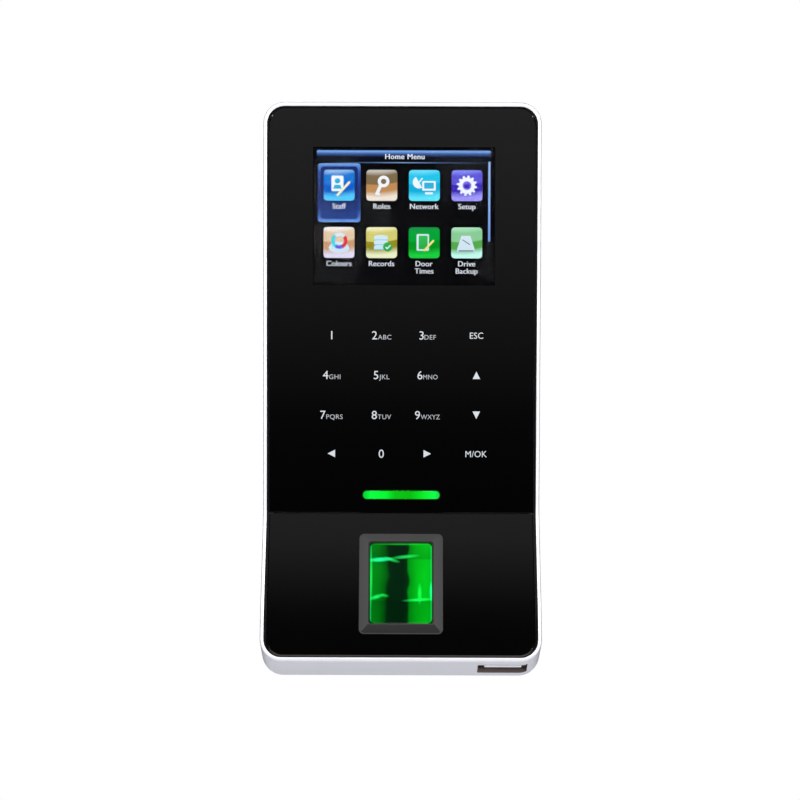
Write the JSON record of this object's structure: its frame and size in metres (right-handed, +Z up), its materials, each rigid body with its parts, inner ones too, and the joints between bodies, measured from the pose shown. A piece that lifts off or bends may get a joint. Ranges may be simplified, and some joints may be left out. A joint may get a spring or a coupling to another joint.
{
  "type": "fingerprint scanner terminal",
  "caption": "Slim wall terminal with a colour display, a touch keypad, a light bar and a leaning fingerprint reader, hung on a steel wall plate.",
  "frame": {"origin": "centre of the steel wall plate's back face, on the wall", "axes": "X to the right seen from the front, -Y out of the wall through the front, Z up"},
  "size_m": [0.078, 0.0193, 0.161],
  "materials": {
    "silver_paint": "satin silver paint on moulded plastic",
    "black_gloss": "high gloss black",
    "clear_window": "clear smoked window over the display",
    "green_light": "green light pipe",
    "bezel_plastic": "fine matt dark grey",
    "prism_glass": "polished optical glass, lit green from inside",
    "dark_plastic": "fine textured black",
    "zinc_steel": "zinc plated sheet steel",
    "screw_steel": "plated steel",
    "socket_metal": "nickel plated sheet",
    "white_plastic": "white connector plastic",
    "green_board": "green solder mask",
    "chip_black": "matt black package",
    "flex_film": "amber flexible circuit film",
    "display_glass": "coated display glass",
    "brass": "turned brass",
    "black_rubber": "black rubber",
    "lamp_white": "white lamp package",
    "mirror_glass": "front-silvered mirror"
  },
  "bodies": {
    "wall_bracket": {"wall_plate": "zinc_steel"},
    "terminal": {"front_frame": "silver_paint", "upper_front_panel": "black_gloss", "lower_front_panel": "black_gloss", "display_window": "clear_window", "status_light_bar": "green_light", "sensor_bezel": "bezel_plastic", "sensor_prism": "prism_glass", "rear_cover": "dark_plastic", "sensor_housing": "dark_plastic", "speaker": "dark_plastic", "sensor_mirror": "mirror_glass", "sensor_lens": "display_glass", "display_panel": "display_glass", "sensor_image_chip": "chip_black", "processor": "chip_black", "memory_chip": "chip_black", "storage_chip": "chip_black", "network_chip": "chip_black", "power_regulator": "chip_black", "wireless_module": "chip_black", "touch_controller": "chip_black", "tamper_switch": "chip_black", "reset_switch": "chip_black", "sensor_camera_board": "green_board", "usb_board": "green_board", "touch_keypad_board": "green_board", "status_light_board": "green_board", "main_board": "green_board", "sensor_lamp_board": "lamp_white", "display_backlight": "lamp_white", "status_lamp_left": "lamp_white", "status_lamp_right": "lamp_white", "sensor_flat_cable": "flex_film", "display_flat_cable": "flex_film", "keypad_flat_cable": "flex_film", "usb_socket": "socket_metal", "display_frame": "socket_metal", "usb_tongue": "white_plastic", "power_connector": "white_plastic", "network_connector": "white_plastic", "lock_connector": "white_plastic", "clock_battery": "screw_steel", "threaded_insert": "brass", "wire_grommet": "black_rubber", "cover_screw_1": "screw_steel", "board_screw_1": "screw_steel", "cover_screw_2": "screw_steel", "board_screw_2": "screw_steel", "cover_screw_3": "screw_steel", "board_screw_3": "screw_steel", "cover_screw_4": "screw_steel", "board_screw_4": "screw_steel"},
    "lock_screw": {"locking_screw": "screw_steel"},
    "tamper_pin": {"tamper_plunger": "white_plastic"},
    "reset_pin": {"reset_button": "bezel_plastic"}
  },
  "joints": [
    {"name": "terminal_lift", "type": "slide", "parent": "wall_bracket", "child": "terminal", "axis": [0, 0, 1], "range_m": [0, 0.0055]},
    {"name": "lock_screw_travel", "type": "slide", "parent": "wall_bracket", "child": "lock_screw", "axis": [0, 0, -1], "range_m": [0, 0.009]},
    {"name": "tamper_press", "type": "slide", "parent": "terminal", "child": "tamper_pin", "axis": [0, -1, 0], "range_m": [0, 0.0008], "stiffness_N_per_m": 200},
    {"name": "reset_press", "type": "slide", "parent": "terminal", "child": "reset_pin", "axis": [0, -1, 0], "range_m": [0, 0.0005], "stiffness_N_per_m": 400}
  ]
}
